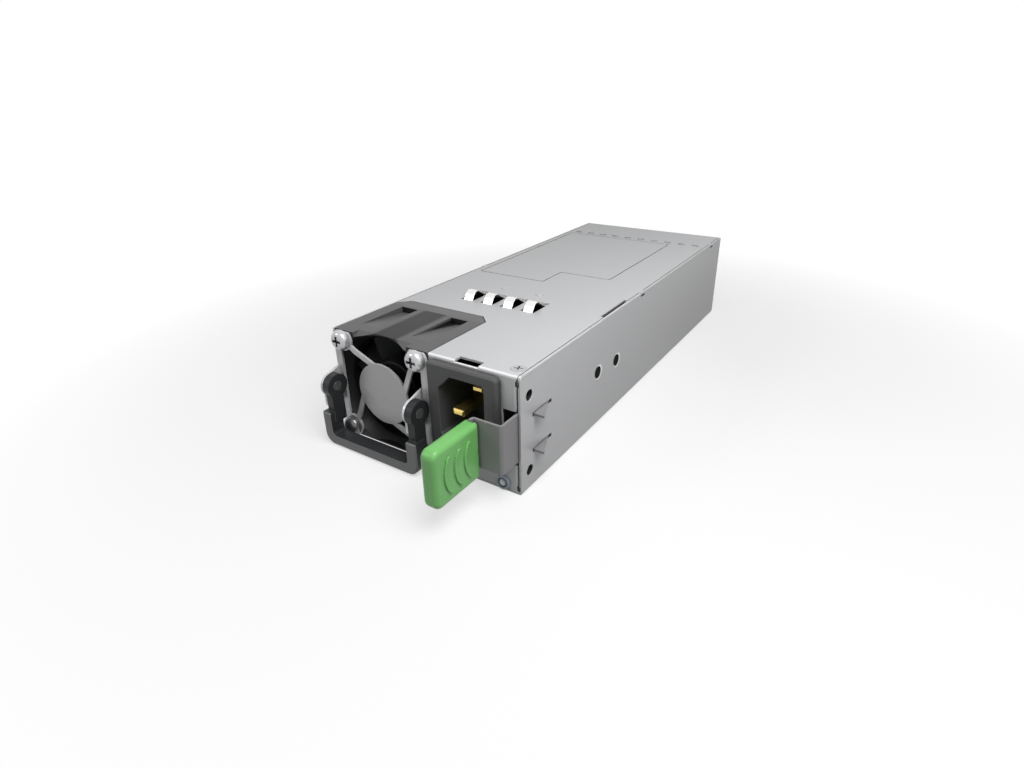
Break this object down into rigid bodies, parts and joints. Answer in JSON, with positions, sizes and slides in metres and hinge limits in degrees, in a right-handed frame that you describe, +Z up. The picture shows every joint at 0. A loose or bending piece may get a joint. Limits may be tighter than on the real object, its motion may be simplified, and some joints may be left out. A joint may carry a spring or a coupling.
{
  "type": "server power supply",
  "caption": "Slim steel hot swap power supply with a fan beside its mains inlet, a folding bail handle, a squeeze latch, sprung grounding fingers and a rear card edge.",
  "frame": {"origin": "centre of the enclosure's flat bottom face", "axes": "+Y in the direction it slides into its bay, from the fan and inlet face to the card edge; +Z up; +X to the right seen from the front"},
  "size_m": [0.0771, 0.222, 0.0416],
  "materials": {
    "case_steel": "zinc plated sheet steel, satin",
    "guard_steel": "stamped nickel plated steel",
    "spring_steel": "spring steel strip, satin",
    "finger_metal": "tin plated spring strip, bright",
    "screw_steel": "bright zinc plated steel",
    "fan_plastic": "black moulded plastic",
    "handle_plastic": "dark grey moulded plastic",
    "inlet_plastic": "black moulded plastic",
    "grip_plastic": "green moulded plastic",
    "pin_brass": "brass",
    "contact_gold": "gold plated copper",
    "board_green": "glass fibre board with green mask",
    "film_white": "insulating film",
    "ferrite": "ferrite",
    "copper_wire": "enamelled copper wire",
    "tape_yellow": "wound coil under tape",
    "aluminium": "extruded aluminium",
    "sleeve_black": "shrink sleeve",
    "part_black": "epoxy moulding",
    "film_yellow": "moulded film capacitor case",
    "ceramic_white": "ceramic",
    "bezel_grey": "moulded plastic",
    "lens_clear": "moulded clear lens",
    "bearing_steel": "bearing steel",
    "wire_black": "insulated wire"
  },
  "bodies": {
    "case": {"chassis_tray": "case_steel", "top_cover": "case_steel", "cover_screw": "screw_steel", "fan_frame": "fan_plastic", "fan_bearings": "bearing_steel", "fan_stator_core": "spring_steel", "fan_windings": "copper_wire", "fan_circuit_board": "board_green", "fan_duct": "fan_plastic", "fan_guard": "guard_steel", "fan_screws": "screw_steel", "handle_pins": "spring_steel", "ac_inlet": "inlet_plastic", "inlet_pins": "pin_brass", "latch_root": "spring_steel", "latch_rivets": "screw_steel", "finger_strip": "finger_metal", "strip_rivets": "screw_steel", "lamp_bezel": "bezel_grey", "lamp_lens": "lens_clear", "status_lamp": "lens_clear", "main_board": "board_green", "edge_contacts": "contact_gold", "board_standoffs": "screw_steel", "board_screws": "screw_steel", "insulation_sheet": "film_white", "fuse": "ceramic_white", "x_capacitors": "film_yellow", "line_filter_core": "ferrite", "line_filter_windings": "copper_wire", "inrush_relay": "part_black", "bulk_capacitors": "sleeve_black", "bridge_rectifier": "part_black", "primary_heatsink": "aluminium", "power_transistors": "part_black", "pfc_core": "ferrite", "pfc_winding": "copper_wire", "transformer_core": "ferrite", "transformer_winding": "tape_yellow", "secondary_heatsink": "aluminium", "output_choke_core": "ferrite", "output_choke_winding": "copper_wire", "output_capacitors": "sleeve_black", "control_board": "board_green", "control_chips": "part_black", "inlet_leads": "wire_black"},
    "fan_rotor": {"fan_rotor": "fan_plastic", "fan_shaft": "bearing_steel", "fan_magnet_ring": "ferrite"},
    "handle": {"bail_handle": "handle_plastic"},
    "latch": {"latch_spring": "spring_steel", "latch_grip": "grip_plastic"},
    "fingers": {"ground_fingers": "finger_metal"}
  },
  "joints": [
    {"name": "fan_spin", "type": "hinge", "parent": "case", "child": "fan_rotor", "pos_m": [-0.01595, -0.0805, 0.0199], "axis": [0, 1, 0], "continuous": true},
    {"name": "handle_lift", "type": "hinge", "parent": "case", "child": "handle", "pos_m": [-0.0158, -0.0976, 0.0207], "axis": [-1, 0, 0], "range_deg": [0, 90]},
    {"name": "latch_squeeze", "type": "hinge", "parent": "case", "child": "latch", "pos_m": [0.03545, -0.0505, 0.01845], "axis": [0, 0, -1], "range_deg": [0, 6], "stiffness_Nm_per_rad": 3},
    {"name": "finger_press", "type": "hinge", "parent": "case", "child": "fingers", "pos_m": [-0.0024, -0.0329, 0.03807], "axis": [1, 0, 0], "range_deg": [0, 11], "stiffness_Nm_per_rad": 0.3}
  ]
}
